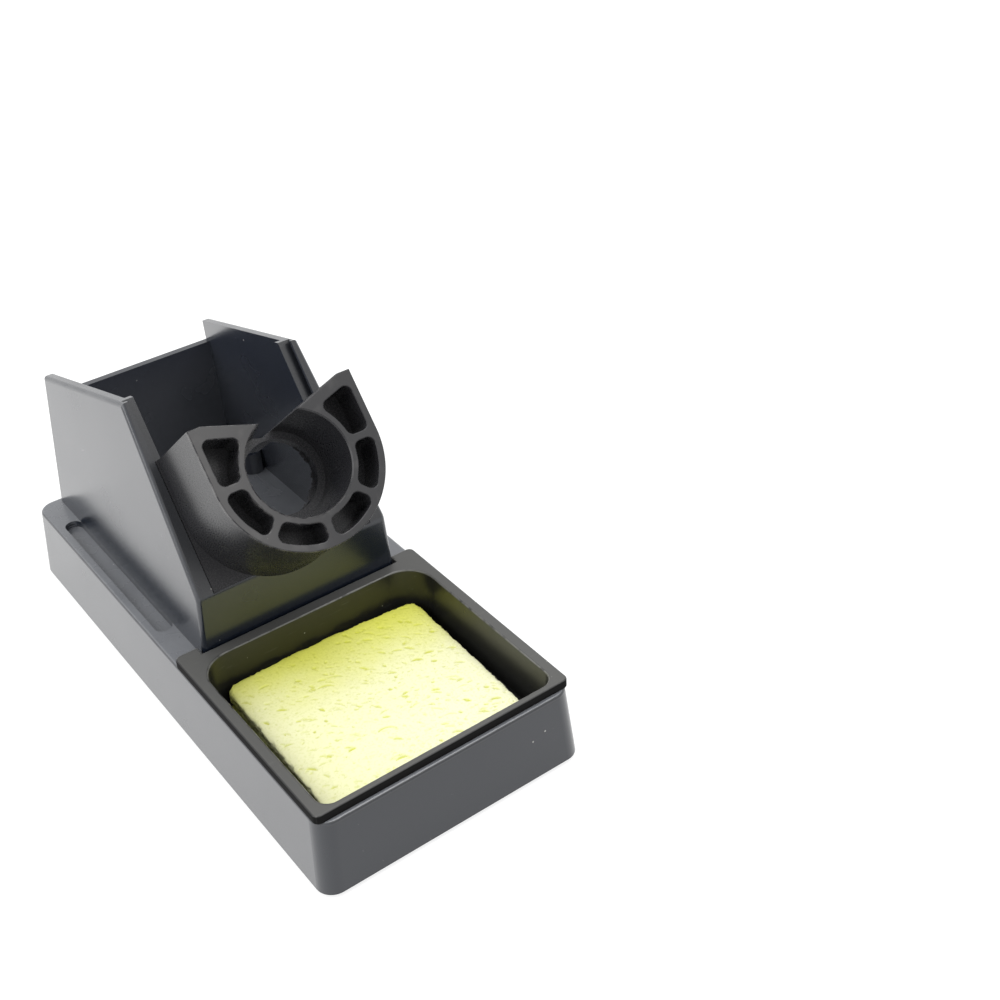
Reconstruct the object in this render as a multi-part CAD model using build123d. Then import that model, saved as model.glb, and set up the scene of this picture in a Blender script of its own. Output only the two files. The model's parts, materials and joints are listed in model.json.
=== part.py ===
from build123d import *
import os
from math import cos, radians, sin, tan

# Soldering iron stand, in millimetres.
# +Z is up, the front faces -Y, and the origin is on the bench under the middle of the base.

# Base
BASE_LENGTH = 178.0
BASE_WIDTH = 82.0
BASE_HEIGHT = 23.1
BASE_CORNER_RADIUS = 5.0
BASE_LEAN = 1.8
BASE_WALL = 1.8
DECK_THICKNESS = 4.0
DECK_EDGE_RADIUS = 0.8
RIB_THICKNESS = 1.6
RIB_DEPTH = 8.0
RIB_SPACING = 28.0

# Tool grooves in the deck beside the hopper
GROOVE_LENGTH = 68.0
GROOVE_DEPTH = 2.2
GROOVE_SIDE_MARGIN = 2.5
GROOVE_REAR_MARGIN = 15.0

# Rubber feet
FOOT_STAND = 1.2
FOOT_DIAMETER = 11.0
FOOT_INSET = 11.0
FOOT_RECESS = 0.8
FOOT_PAD_WIDTH = 21.0
FOOT_PAD_THICKNESS = 3.2
FOOT_STEM_DIAMETER = 4.0
FOOT_BARB_DIAMETER = 5.6
FOOT_BARB_HEIGHT = 1.8

# Sponge tray
TRAY_LENGTH = 75.2
TRAY_FRONT_MARGIN = 1.2
TRAY_SIDE_MARGIN = 0.0
TRAY_CORNER_RADIUS = 1.8
RIM_THICKNESS = 2.5
RIM_FRONT_WIDTH = 2.0
RIM_SIDE_WIDTH = 3.4
RIM_REAR_WIDTH = 7.0
RIM_EDGE_RADIUS = 0.5
TUB_DEPTH = 16.4
TUB_WALL = 1.2
TUB_FLOOR = 1.6
TUB_DRAFT = 3.0
TUB_FRONT_RADIUS = 4.0
TUB_REAR_RADIUS = 9.0

# Sponge
SPONGE_THICKNESS = 6.4
SPONGE_CROWN = 0.5
SPONGE_CROWN_RUN = 3.0
SPONGE_WAIST = 0.4
SPONGE_CORNER_RADIUS = 2.5
SPONGE_TURN = -1.7
SPONGE_LEFT_PLAY = 4.4
SPONGE_RIGHT_PLAY = 3.5
SPONGE_FRONT_PLAY = 2.7
SPONGE_REAR_PLAY = 1.9

# Hopper
TOWER_WIDTH = 63.0
TOWER_REAR_MARGIN = 1.0
TOWER_NOTCH = 2.7
CHEEK_HEIGHT = 64.5
CHEEK_REAR_HEIGHT = 46.4
CHEEK_WALL = 3.0
CHEEK_LEAN = 3.8
CHEEK_EDGE_RADIUS = 1.3
REAR_WALL = 2.2
REAR_WALL_HEIGHT = 39.4
REAR_LEAN = 5.5
APRON_WALL = 2.4
KNEE_HEIGHT = 19.7
KNEE_RADIUS = 4.0
SLOPE_TILT = 37.5
RAIL_LEDGE_THICKNESS = 2.0
RAIL_LEDGE_WIDTH = 2.5

# Screws between deck and hopper
SCREW_DIAMETER = 3.0
SCREW_LENGTH = 10.0
SCREW_HEAD_DIAMETER = 5.8
SCREW_HEAD_HEIGHT = 2.0
SCREW_SLOT_LENGTH = 3.5
SCREW_SLOT_WIDTH = 1.0
SCREW_SLOT_DEPTH = 0.9
BOSS_DIAMETER = 7.5
BOSS_ROOF = 1.6
BOSS_WALL_OVERLAP = 0.5
BOSS_REAR_INSET = 25.0

# Iron receptacle
PLATE_WIDTH = 50.0
PLATE_LENGTH = 41.3
PLATE_THICKNESS = 2.6
TONGUE_WIDTH = 0.8
TONGUE_THICKNESS = 1.3
BORE_RISE = 22.7
BORE_TILT = 40.8
SNOUT_REACH = 32.4
SNOUT_WIDTH = 48.0
SNOUT_V_RISE = 6.7
SNOUT_WALL = 2.2
SNOUT_FLARE = 1.2
SNOUT_FLARE_START = 25.0
SNOUT_FLAT = 4.0
SNOUT_ROUND_LIFT = 0.5
SNOUT_BEND_RADIUS = 4.0
SNOUT_EDGE_RADIUS = 0.35
MOUTH_DEPTH = 17.0
MOUTH_TAPER = 1.8
POCKET_DEPTH = 11.0
POCKET_WIDTH = 5.8
POCKET_RING_WALL = 1.8
POCKET_SIDE_WALL = 2.0
POCKET_TOP_WALL = 3.2
POCKET_WEB = 2.2
POCKET_CORNER_RADIUS = 1.9
POCKET_SPLIT = 44.5

# Bore liner
LINER_LEDGE = 2.1
LINER_WALL = 2.5
LINER_CROWN = 0.9
LINER_LENGTH = 4.0
LINER_RELIEF = 0.4

# Clearances
PRESS_GAP = 0.02
SCREW_GAP = 0.25
REST_GAP = 0.1
TUB_GAP = 0.3
TRAY_TOWER_GAP = 0.5
SLIDE_GAP = 0.2

# Levels and places worked out from the sizes above
REACH = 2.0 * BASE_LENGTH
BASE_BOTTOM = FOOT_STAND
DECK_TOP = BASE_BOTTOM + BASE_HEIGHT
DECK_UNDERSIDE = DECK_TOP - DECK_THICKNESS
DECK_FRONT = -BASE_LENGTH / 2 + BASE_LEAN
DECK_REAR = BASE_LENGTH / 2 - BASE_LEAN
DECK_HALF_WIDTH = BASE_WIDTH / 2 - BASE_LEAN
RIM_UNDERSIDE = DECK_TOP + REST_GAP
RIM_TOP = RIM_UNDERSIDE + RIM_THICKNESS
RIM_FRONT = DECK_FRONT + TRAY_FRONT_MARGIN
RIM_REAR = RIM_FRONT + TRAY_LENGTH
RIM_HALF_WIDTH = DECK_HALF_WIDTH - TRAY_SIDE_MARGIN
TUB_FLOOR_TOP = RIM_TOP - TUB_DEPTH
TOWER_FRONT = RIM_REAR - TOWER_NOTCH
TOWER_REAR = DECK_REAR - TOWER_REAR_MARGIN
TOWER_HALF_WIDTH = TOWER_WIDTH / 2
TOWER_TOP = DECK_TOP + CHEEK_HEIGHT
KNEE_LEVEL = DECK_TOP + KNEE_HEIGHT
BOSS_RADIUS = BOSS_DIAMETER / 2
POCKET_RING_RADIUS = SNOUT_WIDTH / 2 - POCKET_SIDE_WALL - POCKET_WIDTH
MOUTH_RADIUS = POCKET_RING_RADIUS - POCKET_RING_WALL
MOUTH_FLOOR_RADIUS = MOUTH_RADIUS - MOUTH_TAPER
LINER_BORE_RADIUS = MOUTH_FLOOR_RADIUS - LINER_LEDGE
SNOUT_NOTCH = LINER_BORE_RADIUS + LINER_CROWN
SNOUT_TOP = SNOUT_NOTCH + SNOUT_V_RISE

# Solids that grow upward from their middle
UPWARD = (Align.CENTER, Align.CENTER, Align.MIN)

# Sliding plane of the receptacle, through the knee of the hopper's front:
# local y runs up the slope, local z points out of it.
SLOPE = Plane(
    origin=(0, TOWER_FRONT, KNEE_LEVEL),
    x_dir=(1, 0, 0),
    z_dir=(0, -cos(radians(SLOPE_TILT)), sin(radians(SLOPE_TILT))),
)

# Mouth plane of the bore: local y runs up the snout's face, local z points along the iron as it leaves.
MOUTH = Plane(
    origin=SLOPE.from_local_coords((0, BORE_RISE, SNOUT_REACH)),
    x_dir=(1, 0, 0),
    z_dir=(0, -cos(radians(BORE_TILT)), sin(radians(BORE_TILT))),
)


def slope_block(half_width, low, high, back, front):
    """Block in the sliding plane's frame, between two distances up the slope and two depths."""
    block = Box(2 * half_width, high - low, front - back)
    return SLOPE * Pos(0, (low + high) / 2, (back + front) / 2) * block


def leaning_block(width, length, radius, lean, low, height):
    """Rounded block whose four sides lean in by the same amount over its height."""
    foot = Pos(0, 0, low) * RectangleRounded(width, length, radius)
    head = Pos(0, 0, low + height) * RectangleRounded(width - 2 * lean, length - 2 * lean, radius)
    return loft([foot.face(), head.face()], ruled=True)


def tub_outline(grow, level):
    """Outline of the tub at a level, grown outward from its inner face."""
    inset = (RIM_TOP - level) * tan(radians(TUB_DRAFT)) - grow
    half_width = RIM_HALF_WIDTH - RIM_SIDE_WIDTH - inset
    front = RIM_FRONT + RIM_FRONT_WIDTH + inset
    rear = RIM_REAR - RIM_REAR_WIDTH - inset
    outline = Pos(0, (front + rear) / 2, level) * Rectangle(2 * half_width, rear - front)
    outline = fillet(outline.vertices().group_by(Axis.Y)[0], TUB_FRONT_RADIUS + grow)
    return fillet(outline.vertices().group_by(Axis.Y)[-1], TUB_REAR_RADIUS + grow)


def tub_block(grow, low, high):
    """Tub-shaped block between two levels."""
    return loft([tub_outline(grow, low).face(), tub_outline(grow, high).face()], ruled=True)


def boss_places():
    """Centres of the screw bosses along the foot of the hopper's cheeks."""
    wall = CHEEK_WALL / cos(radians(CHEEK_LEAN))
    side = TOWER_HALF_WIDTH - wall - BOSS_RADIUS + BOSS_WALL_OVERLAP
    front = TOWER_FRONT + APRON_WALL + BOSS_RADIUS - BOSS_WALL_OVERLAP
    rear = TOWER_REAR - BOSS_REAR_INSET
    return [(side * hand, y) for hand in (-1, 1) for y in (front, rear)]


def foot_places():
    """Foot name and centre for each corner of the base."""
    x = BASE_WIDTH / 2 - FOOT_INSET
    y = BASE_LENGTH / 2 - FOOT_INSET
    return {
        "foot_front_left": (-x, -y),
        "foot_front_right": (x, -y),
        "foot_rear_left": (-x, y),
        "foot_rear_right": (x, y),
    }


def make_base_shell():
    """Base moulding: leaning skirt, deck, tray well, tool grooves, ribs, foot pads and screw holes."""
    outer = leaning_block(BASE_WIDTH, BASE_LENGTH, BASE_CORNER_RADIUS, BASE_LEAN, BASE_BOTTOM, BASE_HEIGHT)
    outer = fillet(outer.faces().sort_by(Axis.Z)[-1].edges(), DECK_EDGE_RADIUS)
    hollow = leaning_block(
        BASE_WIDTH - 2 * BASE_WALL,
        BASE_LENGTH - 2 * BASE_WALL,
        BASE_CORNER_RADIUS - BASE_WALL,
        BASE_LEAN * (BASE_HEIGHT - DECK_THICKNESS) / BASE_HEIGHT,
        BASE_BOTTOM,
        BASE_HEIGHT - DECK_THICKNESS,
    )
    shell = outer - hollow
    shell -= tub_block(TUB_WALL + TUB_GAP, DECK_UNDERSIDE - DECK_THICKNESS, RIM_TOP)
    ribs = []
    rib_middle = DECK_UNDERSIDE - RIB_DEPTH / 2
    rib_front = RIM_REAR
    rib_length = DECK_REAR - rib_front
    rib_centre = rib_front + rib_length / 2
    for x in (-RIB_SPACING / 2, RIB_SPACING / 2):
        ribs.append(Pos(x, rib_centre, rib_middle) * Box(RIB_THICKNESS, rib_length, RIB_DEPTH))
    rib_count = int(rib_length // RIB_SPACING)
    for number in range(rib_count):
        y = rib_front + RIB_SPACING * (number + 0.5)
        ribs.append(Pos(0, y, rib_middle) * Box(BASE_WIDTH, RIB_THICKNESS, RIB_DEPTH))
    shell += [rib & hollow for rib in ribs]
    pad_level = BASE_BOTTOM + FOOT_PAD_THICKNESS / 2
    for x, y in foot_places().values():
        pad = Pos(x, y, pad_level) * Box(FOOT_PAD_WIDTH, FOOT_PAD_WIDTH, FOOT_PAD_THICKNESS)
        shell += pad & hollow
    for x, y in foot_places().values():
        recess = Cylinder(FOOT_DIAMETER / 2 + PRESS_GAP, 2 * FOOT_RECESS)
        hole = Cylinder(FOOT_STEM_DIAMETER / 2 + PRESS_GAP, 4 * FOOT_PAD_THICKNESS)
        shell -= Pos(x, y, BASE_BOTTOM) * (recess + hole)
    groove_outer = DECK_HALF_WIDTH - GROOVE_SIDE_MARGIN
    groove_width = groove_outer - TOWER_HALF_WIDTH
    groove_middle = (groove_outer + TOWER_HALF_WIDTH) / 2
    groove_y = DECK_REAR - GROOVE_REAR_MARGIN - GROOVE_LENGTH / 2
    for hand in (-1, 1):
        slot = Pos(groove_middle * hand, groove_y, DECK_TOP) * SlotOverall(GROOVE_LENGTH, groove_width, 90)
        shell -= extrude(slot, amount=-GROOVE_DEPTH)
    head_space = Cylinder(SCREW_HEAD_DIAMETER / 2 + SCREW_GAP, 2 * RIB_DEPTH)
    shank_hole = Cylinder(SCREW_DIAMETER / 2 + SCREW_GAP, 4 * DECK_THICKNESS)
    for x, y in boss_places():
        shell -= Pos(x, y, DECK_UNDERSIDE - RIB_DEPTH) * head_space
        shell -= Pos(x, y, DECK_TOP) * shank_hole
    return shell


def make_foot(x, y):
    """Rubber foot: tapered disc, stem through the base's pad and a barb that holds it there."""
    taper = FOOT_STAND / 2
    tread = Cone(FOOT_DIAMETER / 2 - taper, FOOT_DIAMETER / 2, FOOT_STAND, align=UPWARD)
    seat = Pos(0, 0, FOOT_STAND) * Cylinder(FOOT_DIAMETER / 2, FOOT_RECESS, align=UPWARD)
    stem_length = FOOT_PAD_THICKNESS - FOOT_RECESS
    stem_low = FOOT_STAND + FOOT_RECESS
    stem = Pos(0, 0, stem_low) * Cylinder(FOOT_STEM_DIAMETER / 2, stem_length, align=UPWARD)
    barb = Cone(FOOT_BARB_DIAMETER / 2, FOOT_STEM_DIAMETER / 2, FOOT_BARB_HEIGHT, align=UPWARD)
    barb = Pos(0, 0, stem_low + stem_length) * barb
    return Pos(x, y, 0) * (tread + seat + stem + barb)


def make_sponge_tray():
    """Drop-in tub with a raised rim, notched at the rear for the hopper's front."""
    rim = Pos(0, (RIM_FRONT + RIM_REAR) / 2, RIM_UNDERSIDE) * RectangleRounded(
        2 * RIM_HALF_WIDTH, TRAY_LENGTH, TRAY_CORNER_RADIUS
    )
    notch_half = TOWER_HALF_WIDTH + TRAY_TOWER_GAP
    notch_depth = TOWER_NOTCH + TRAY_TOWER_GAP
    notch = Pos(0, RIM_REAR, RIM_UNDERSIDE) * Rectangle(2 * notch_half, 2 * notch_depth)
    tray = extrude(rim - notch, amount=RIM_THICKNESS)
    tray = fillet(tray.faces().sort_by(Axis.Z)[-1].edges(), RIM_EDGE_RADIUS)
    tray += tub_block(TUB_WALL, TUB_FLOOR_TOP - TUB_FLOOR, RIM_UNDERSIDE + RIM_THICKNESS / 2)
    tray -= tub_block(0, TUB_FLOOR_TOP, RIM_TOP)
    mouth_edges = tray.faces().sort_by(Axis.Z)[-1].inner_wires()[0].edges()
    return fillet(mouth_edges, RIM_EDGE_RADIUS)


def make_sponge():
    """Cellulose sponge: drawn-in sides and a low crown, lying a little askew on the tub's floor."""
    inset = TUB_DEPTH * tan(radians(TUB_DRAFT))
    left = -(RIM_HALF_WIDTH - RIM_SIDE_WIDTH - inset) + SPONGE_LEFT_PLAY
    right = RIM_HALF_WIDTH - RIM_SIDE_WIDTH - inset - SPONGE_RIGHT_PLAY
    front = RIM_FRONT + RIM_FRONT_WIDTH + inset + SPONGE_FRONT_PLAY
    rear = RIM_REAR - RIM_REAR_WIDTH - inset - SPONGE_REAR_PLAY
    shoulder = SPONGE_THICKNESS - SPONGE_CROWN
    sections = [
        (0.0, 0.0),
        (shoulder / 2, SPONGE_WAIST),
        (shoulder, 0.0),
        (shoulder + SPONGE_CROWN / 2, SPONGE_CROWN_RUN / 3),
        (SPONGE_THICKNESS, SPONGE_CROWN_RUN),
    ]
    faces = []
    for level, inset_here in sections:
        width = right - left - 2 * inset_here
        length = rear - front - 2 * inset_here
        faces.append((Pos(0, 0, level) * RectangleRounded(width, length, SPONGE_CORNER_RADIUS)).face())
    slab = loft(faces, ruled=True)
    place = Pos((left + right) / 2, (front + rear) / 2, TUB_FLOOR_TOP + REST_GAP)
    return place * Rot(0, 0, SPONGE_TURN) * slab


def side_wedge(half_width):
    """Space between the two leaning cheek faces that are this far apart at the deck."""
    lean = tan(radians(CHEEK_LEAN))
    low = DECK_TOP - BASE_HEIGHT
    high = TOWER_TOP + CHEEK_HEIGHT
    low_half = half_width + (DECK_TOP - low) * lean
    high_half = half_width - (high - DECK_TOP) * lean
    outline = Polyline((-low_half, low), (low_half, low), (high_half, high), (-high_half, high), close=True)
    return extrude(Plane.XZ * make_face(outline), amount=REACH, both=True)


def side_profile(points):
    """Solid across the stand from a closed outline of y and z values."""
    return extrude(Plane.YZ * make_face(Polyline(*points, close=True)), amount=BASE_WIDTH, both=True)


def at_knee(edge):
    """Whether an edge lies at the knee of the hopper's front."""
    middle = edge.center()
    return abs(middle.Z - KNEE_LEVEL) < PRESS_GAP and abs(middle.Y - TOWER_FRONT) < PRESS_GAP


def above_deck(edge):
    """Whether an edge's middle stands above the deck."""
    return edge.center().Z > DECK_TOP + PRESS_GAP


def make_tower_shell():
    """Open hopper: leaning cheeks, low rear wall, front apron, receptacle rails and screw bosses."""
    rear_lean = tan(radians(REAR_LEAN))
    slope_lean = tan(radians(SLOPE_TILT))
    cheek_wall = CHEEK_WALL / cos(radians(CHEEK_LEAN))
    rear_wall = REAR_WALL / cos(radians(REAR_LEAN))
    front_top = TOWER_FRONT + (CHEEK_HEIGHT - KNEE_HEIGHT) * slope_lean
    outer = side_profile(
        [
            (TOWER_FRONT, DECK_TOP),
            (TOWER_REAR, DECK_TOP),
            (TOWER_REAR - CHEEK_REAR_HEIGHT * rear_lean, DECK_TOP + CHEEK_REAR_HEIGHT),
            (front_top, TOWER_TOP),
            (TOWER_FRONT, KNEE_LEVEL),
        ]
    )
    outer &= side_wedge(TOWER_HALF_WIDTH)
    outer = fillet(outer.edges().filter_by(Axis.X).filter_by(at_knee), KNEE_RADIUS)
    cheek_faces = outer.faces().sort_by(Axis.X)
    outline = cheek_faces[0].edges() + cheek_faces[-1].edges()
    outer = fillet(outline.filter_by(above_deck), CHEEK_EDGE_RADIUS)
    apron_inner = TOWER_FRONT + APRON_WALL
    below = DECK_TOP - BASE_HEIGHT / 2
    above = TOWER_TOP + CHEEK_HEIGHT / 2
    rear_top = DECK_TOP + REAR_WALL_HEIGHT
    hollow = side_profile(
        [
            (apron_inner, below),
            (TOWER_REAR - rear_wall + (DECK_TOP - below) * rear_lean, below),
            (TOWER_REAR - rear_wall - REAR_WALL_HEIGHT * rear_lean, rear_top),
            (TOWER_REAR + BASE_LENGTH, rear_top),
            (TOWER_REAR + BASE_LENGTH, above),
            (TOWER_FRONT - CHEEK_HEIGHT / slope_lean, above),
            (TOWER_FRONT - CHEEK_HEIGHT / slope_lean, KNEE_LEVEL + CHEEK_HEIGHT),
            (apron_inner, KNEE_LEVEL - APRON_WALL * slope_lean),
        ]
    )
    hollow &= side_wedge(TOWER_HALF_WIDTH - cheek_wall)
    shell = outer - hollow
    run = 2 * CHEEK_HEIGHT
    seat = PLATE_THICKNESS + SLIDE_GAP
    rail_inner = PLATE_WIDTH / 2 - RAIL_LEDGE_WIDTH
    rails = slope_block(BASE_WIDTH, 0, run, -seat - RAIL_LEDGE_THICKNESS, 0)
    rails -= slope_block(rail_inner, -run, 2 * run, -2 * seat - RAIL_LEDGE_THICKNESS, seat)
    shell += rails & outer
    shell -= slope_block(PLATE_WIDTH / 2 + SLIDE_GAP, 0, run, -seat, seat)
    groove_half = PLATE_WIDTH / 2 + TONGUE_WIDTH + SLIDE_GAP
    groove_front = TONGUE_THICKNESS - PLATE_THICKNESS + SLIDE_GAP
    shell -= slope_block(groove_half, 0, run, -seat, groove_front)
    boss_height = SCREW_LENGTH - DECK_THICKNESS + BOSS_ROOF
    for x, y in boss_places():
        shell += Pos(x, y, DECK_TOP) * Cylinder(BOSS_RADIUS, boss_height, align=UPWARD)
    for x, y in boss_places():
        shell -= Pos(x, y, DECK_TOP) * Cylinder(
            SCREW_DIAMETER / 2 + PRESS_GAP, 2 * (SCREW_LENGTH - DECK_THICKNESS + PRESS_GAP)
        )
    return shell


def make_tower_screws():
    """Four pan-head screws with a cross slot, driven up through the deck into the hopper's bosses."""
    head = Cylinder(SCREW_HEAD_DIAMETER / 2, SCREW_HEAD_HEIGHT, align=UPWARD)
    head = Pos(0, 0, -SCREW_HEAD_HEIGHT) * head
    head = fillet(head.edges().group_by(Axis.Z)[0], SCREW_HEAD_HEIGHT / 3)
    slot = Box(SCREW_SLOT_LENGTH, SCREW_SLOT_WIDTH, 2 * SCREW_SLOT_DEPTH)
    slot += Rot(0, 0, 90) * Box(SCREW_SLOT_LENGTH, SCREW_SLOT_WIDTH, 2 * SCREW_SLOT_DEPTH)
    head -= Pos(0, 0, -SCREW_HEAD_HEIGHT) * slot
    shank = Cylinder(SCREW_DIAMETER / 2, SCREW_LENGTH, align=UPWARD)
    shank = chamfer(shank.edges().group_by(Axis.Z)[-1], SCREW_DIAMETER / 4)
    screw = head + shank
    return [Pos(x, y, DECK_UNDERSIDE) * screw for x, y in boss_places()]


def snout_outline(flare):
    """Outline across the snout, round below with straight sides, widened by the flare."""
    half = SNOUT_WIDTH / 2 + flare
    top = SNOUT_TOP + SNOUT_BEND_RADIUS
    rim = Polyline((-half, SNOUT_ROUND_LIFT), (-half, top), (half, top), (half, SNOUT_ROUND_LIFT))
    lowest = (0, SNOUT_ROUND_LIFT - half)
    round_end = ThreePointArc((half, SNOUT_ROUND_LIFT), lowest, (-half, SNOUT_ROUND_LIFT))
    return make_face([rim, round_end])


def v_outline():
    """Wide region below the shallow V that tops the snout."""
    bend = SNOUT_WIDTH / 2 - SNOUT_FLAT
    region = make_face(
        Polyline(
            (-BASE_WIDTH, -BASE_WIDTH),
            (-BASE_WIDTH, SNOUT_TOP),
            (-bend, SNOUT_TOP),
            (0, SNOUT_NOTCH),
            (bend, SNOUT_TOP),
            (BASE_WIDTH, SNOUT_TOP),
            (BASE_WIDTH, -BASE_WIDTH),
            close=True,
        )
    )
    corners = region.vertices().filter_by(lambda corner: abs(corner.X) < SNOUT_WIDTH / 2)
    return fillet(corners, SNOUT_BEND_RADIUS)


def below_v(shape):
    """Part of a shape that lies below the snout's V."""
    return shape & extrude(MOUTH * v_outline(), amount=-2 * SNOUT_REACH)


def pocket_sketches():
    """Outlines of the six blind pockets, as three pairs mirrored across the snout's middle."""
    half = SNOUT_WIDTH / 2
    side = half - POCKET_SIDE_WALL
    web = POCKET_WEB / 2
    upper = make_face(
        Polyline(
            (0, SNOUT_ROUND_LIFT + web),
            (side, SNOUT_ROUND_LIFT + web),
            (side, SNOUT_TOP - POCKET_TOP_WALL),
            (0, SNOUT_NOTCH - POCKET_TOP_WALL),
            close=True,
        )
    )
    upper -= Circle(POCKET_RING_RADIUS)
    lower = Pos(0, SNOUT_ROUND_LIFT) * Circle(side) - Circle(POCKET_RING_RADIUS)
    lower &= Pos(web + half / 2, SNOUT_ROUND_LIFT - web - half / 2) * Rectangle(half, half)
    lower -= Rot(0, 0, -POCKET_SPLIT) * Rectangle(2 * SNOUT_WIDTH, POCKET_WEB)
    pockets = []
    for outline in (upper, lower):
        rounded = fillet(outline.vertices(), POCKET_CORNER_RADIUS)
        pockets += [rounded, mirror(rounded, about=Plane.YZ)]
    return pockets


def snout_block():
    """Snout from its face back past the sliding plate, flaring out towards its root."""
    block = extrude(MOUTH * snout_outline(0), amount=-SNOUT_FLARE_START)
    run = SNOUT_REACH + PLATE_THICKNESS - SNOUT_FLARE_START
    sections = []
    for share in (0, 0.25, 0.5, 0.75, 1):
        level = MOUTH.offset(-SNOUT_FLARE_START - run * share)
        sections.append((level * snout_outline(SNOUT_FLARE * share**2)).face())
    return below_v(block + loft(sections))


def make_iron_receptacle():
    """Receptacle: V-topped plate with tongues, hollow snout, blind pockets, tapered mouth and liner seat."""
    body = split(snout_block(), bisect_by=SLOPE, keep=Keep.TOP)
    body += below_v(slope_block(PLATE_WIDTH / 2, REST_GAP, PLATE_LENGTH, -PLATE_THICKNESS, 0))
    clear = slope_block(BASE_WIDTH, -SNOUT_REACH, 2 * PLATE_LENGTH, -PLATE_THICKNESS, SLIDE_GAP)
    body -= clear - slope_block(PLATE_WIDTH / 2, REST_GAP, PLATE_LENGTH, -PLATE_THICKNESS, SLIDE_GAP)
    tongue_front = TONGUE_THICKNESS - PLATE_THICKNESS
    tongue_half = PLATE_WIDTH / 2 + TONGUE_WIDTH
    body += below_v(slope_block(tongue_half, REST_GAP, PLATE_LENGTH, -PLATE_THICKNESS, tongue_front))
    for pocket in pocket_sketches():
        body -= extrude(MOUTH * pocket, amount=-POCKET_DEPTH)
    face = body.faces().filter_by(lambda side: abs(MOUTH.to_local_coords(side.center()).Z) < PRESS_GAP)
    body = fillet(face.edges(), SNOUT_EDGE_RADIUS)
    body -= MOUTH * Pos(0, 0, -MOUTH_DEPTH / 2) * Cone(MOUTH_FLOOR_RADIUS, MOUTH_RADIUS, MOUTH_DEPTH)
    lead = Cone(MOUTH_RADIUS, MOUTH_RADIUS + SNOUT_EDGE_RADIUS, SNOUT_EDGE_RADIUS)
    body -= MOUTH * Pos(0, 0, -SNOUT_EDGE_RADIUS / 2) * lead
    seat_radius = LINER_BORE_RADIUS + LINER_WALL + PRESS_GAP
    body -= MOUTH * Pos(0, 0, -MOUTH_DEPTH - LINER_LENGTH / 2) * Cylinder(seat_radius, LINER_LENGTH)
    cavity = offset(snout_outline(0) & v_outline(), -SNOUT_WALL) + Circle(LINER_BORE_RADIUS + LINER_RELIEF)
    return body - extrude(MOUTH.offset(-MOUTH_DEPTH - LINER_LENGTH) * cavity, amount=-2 * SNOUT_REACH)


def make_bore_liner():
    """Heat-resisting bush behind the tapered mouth, trimmed flush with the snout's V."""
    outer = LINER_BORE_RADIUS + LINER_WALL
    tube = Cylinder(outer, LINER_LENGTH) - Cylinder(LINER_BORE_RADIUS, 2 * LINER_LENGTH)
    return below_v(MOUTH * Pos(0, 0, -MOUTH_DEPTH - LINER_LENGTH / 2) * tube)


NODES = {
    "base_shell": make_base_shell(),
    "tower_shell": make_tower_shell(),
    "tower_screws": Compound(children=make_tower_screws()),
    "iron_receptacle": make_iron_receptacle(),
    "bore_liner": make_bore_liner(),
    "sponge_tray": make_sponge_tray(),
    "sponge": make_sponge(),
}
NODES |= {name: make_foot(x, y) for name, (x, y) in foot_places().items()}

os.makedirs("parts", exist_ok=True)
for name, shape in NODES.items():
    export_step(shape, f"parts/{name}.step")
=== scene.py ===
"""Looks of a soldering iron stand: satin base and hopper, grainy receptacle, tray and wiping sponge."""

import json
import logging
import math
from abc import ABC, abstractmethod
from dataclasses import dataclass, field
from enum import Enum
from typing import Any, Mapping, Sequence, Union

import bpy
import numpy as np
from mathutils import Matrix, Vector


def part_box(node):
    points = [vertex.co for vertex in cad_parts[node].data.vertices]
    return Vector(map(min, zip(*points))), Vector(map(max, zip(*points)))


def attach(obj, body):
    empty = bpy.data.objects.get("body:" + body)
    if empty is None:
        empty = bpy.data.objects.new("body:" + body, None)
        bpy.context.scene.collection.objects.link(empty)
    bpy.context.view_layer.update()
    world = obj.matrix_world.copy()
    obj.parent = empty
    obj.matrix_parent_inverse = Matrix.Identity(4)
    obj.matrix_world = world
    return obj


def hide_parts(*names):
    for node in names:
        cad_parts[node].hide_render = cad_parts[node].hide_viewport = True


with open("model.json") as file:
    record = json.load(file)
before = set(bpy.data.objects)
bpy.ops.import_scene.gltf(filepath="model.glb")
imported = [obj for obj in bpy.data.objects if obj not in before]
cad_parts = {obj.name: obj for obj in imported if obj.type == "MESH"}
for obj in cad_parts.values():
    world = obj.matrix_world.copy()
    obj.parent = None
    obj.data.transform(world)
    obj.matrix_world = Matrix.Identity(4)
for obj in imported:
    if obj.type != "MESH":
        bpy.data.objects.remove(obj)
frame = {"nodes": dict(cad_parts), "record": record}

LOG = logging.getLogger("soldering_stand")
MM = 0.001

Colour = tuple[float, float, float]
Triple = tuple[float, float, float]
Span = tuple[float, float]
Operand = Union["Value", float]


class Body(Enum):
    """Moving bodies that carry modelled pieces, by their names in the frame."""

    RECEPTACLE = "receptacle"
    SPONGE = "sponge"


class Pit(Enum):
    """Kinds of hollow in the sponge's skin."""

    CRESCENT = "crescent"
    FLECK = "fleck"
    PORE = "pore"

    def sizes(self, chance: np.random.Generator) -> tuple[float, float, float, float]:
        """Sizes of one hollow.

        Args:
            chance: The seeded generator.

        Returns:
            Half its length and half its width in millimetres, its depth from zero to one and its curl.
        """
        if self is Pit.CRESCENT:
            strong = chance.uniform(0.0, 1.0) ** 1.5
            return chance.gamma(6.0, 0.20), 0.22 + 0.16 * strong, 0.45 + 0.55 * strong, 0.15
        if self is Pit.FLECK:
            return chance.uniform(0.4, 0.9), 0.22, chance.uniform(0.18, 0.60), 0.25
        return 0.26, 0.26, chance.uniform(0.10, 0.40), 0.0


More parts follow.
